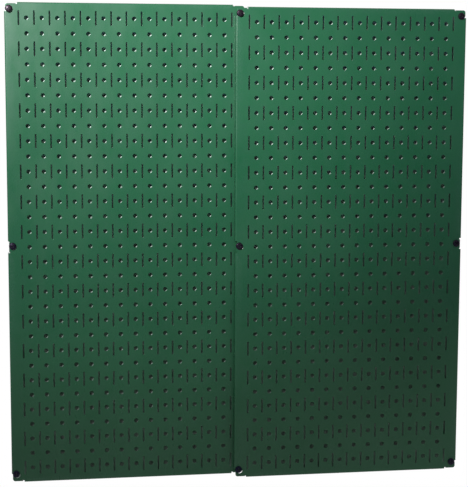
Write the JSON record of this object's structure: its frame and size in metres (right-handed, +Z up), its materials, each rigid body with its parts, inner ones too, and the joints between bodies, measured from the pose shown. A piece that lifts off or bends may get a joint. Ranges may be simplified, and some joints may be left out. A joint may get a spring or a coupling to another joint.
{
  "type": "perforated tool board",
  "caption": "Perforated steel wall boards with folded flanges, lapped side by side on shared screws, for hanging hooks, shelves and bins.",
  "frame": {"origin": "where the middle screw of the column that both boards share enters the wall's face", "axes": "+X to the right as seen from the front, +Y into the wall, +Z up; the boards face -Y and the wall's face is y = 0"},
  "size_m": [0.7856, 0.0671, 0.8166],
  "materials": {
    "green_powder_coat": "satin green powder coat on steel sheet",
    "black_steel": "black oxide, half gloss",
    "anchor_plastic": "natural grey-white nylon"
  },
  "bodies": {
    "root": {"left_board": "green_powder_coat", "right_board": "green_powder_coat", "screw_left_top": "black_steel", "screw_left_middle": "black_steel", "screw_left_bottom": "black_steel", "screw_shared_top": "black_steel", "screw_shared_middle": "black_steel", "screw_shared_bottom": "black_steel", "screw_right_top": "black_steel", "screw_right_middle": "black_steel", "screw_right_bottom": "black_steel", "anchor_left_top": "anchor_plastic", "anchor_left_middle": "anchor_plastic", "anchor_left_bottom": "anchor_plastic", "anchor_shared_top": "anchor_plastic", "anchor_shared_middle": "anchor_plastic", "anchor_shared_bottom": "anchor_plastic", "anchor_right_top": "anchor_plastic", "anchor_right_middle": "anchor_plastic", "anchor_right_bottom": "anchor_plastic"}
  },
  "joints": []
}
